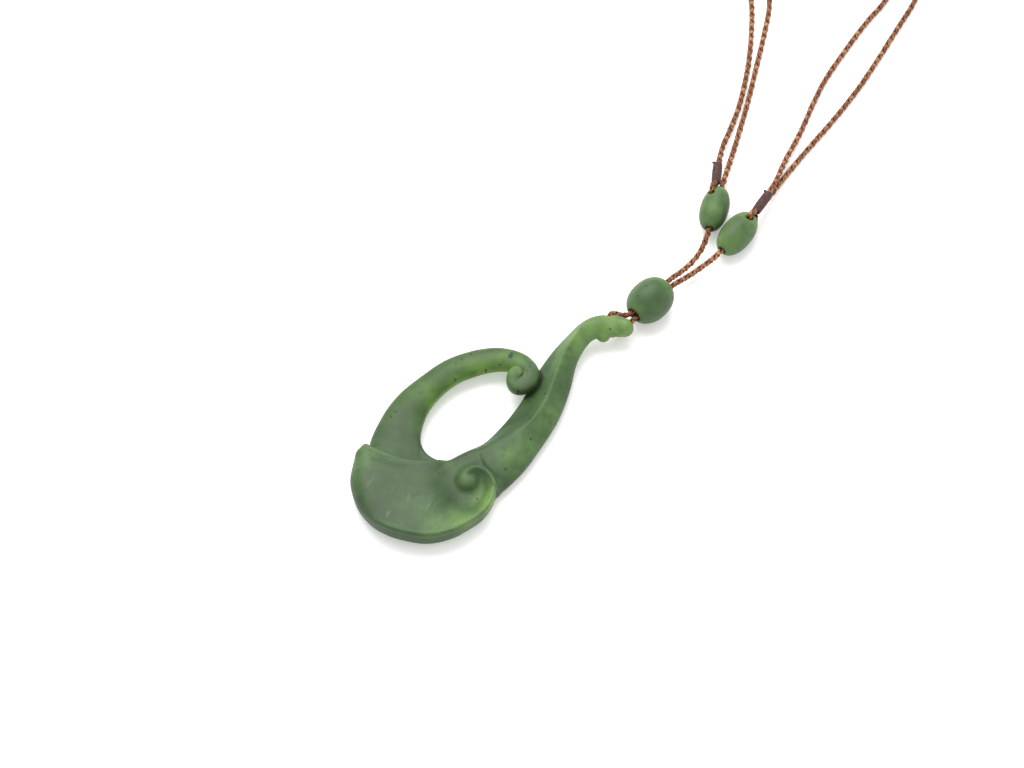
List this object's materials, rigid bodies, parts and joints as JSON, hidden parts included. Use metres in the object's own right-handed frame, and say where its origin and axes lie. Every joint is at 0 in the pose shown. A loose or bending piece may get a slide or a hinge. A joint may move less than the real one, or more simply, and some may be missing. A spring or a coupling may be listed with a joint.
{
  "type": "jade hook pendant",
  "caption": "Carved green jade hook pendant with a crescent bowl, curled arm and ridged shank, on an adjustable braided cord with a toggle bead and two side beads.",
  "frame": {"origin": "middle of the carved pendant's box at its flat back, which lies on z = 0", "axes": "+Z out of the pendant's carved face, +Y away from the viewer on the picture's plane and +X to the right, so that the hook's own axis leans 43 degrees to the right of +Y"},
  "size_m": [0.1569, 0.2439, 0.0106],
  "materials": {
    "jade": "satin",
    "cord": "matte",
    "thread": "matte"
  },
  "bodies": {
    "root": {"hook_pendant": "jade", "toggle_bead": "jade", "side_bead_left": "jade", "side_bead_right": "jade", "cord_left": "cord", "cord_right": "cord", "eye_left": "cord", "eye_right": "cord", "whipping_left": "thread", "whipping_right": "thread"}
  },
  "joints": []
}
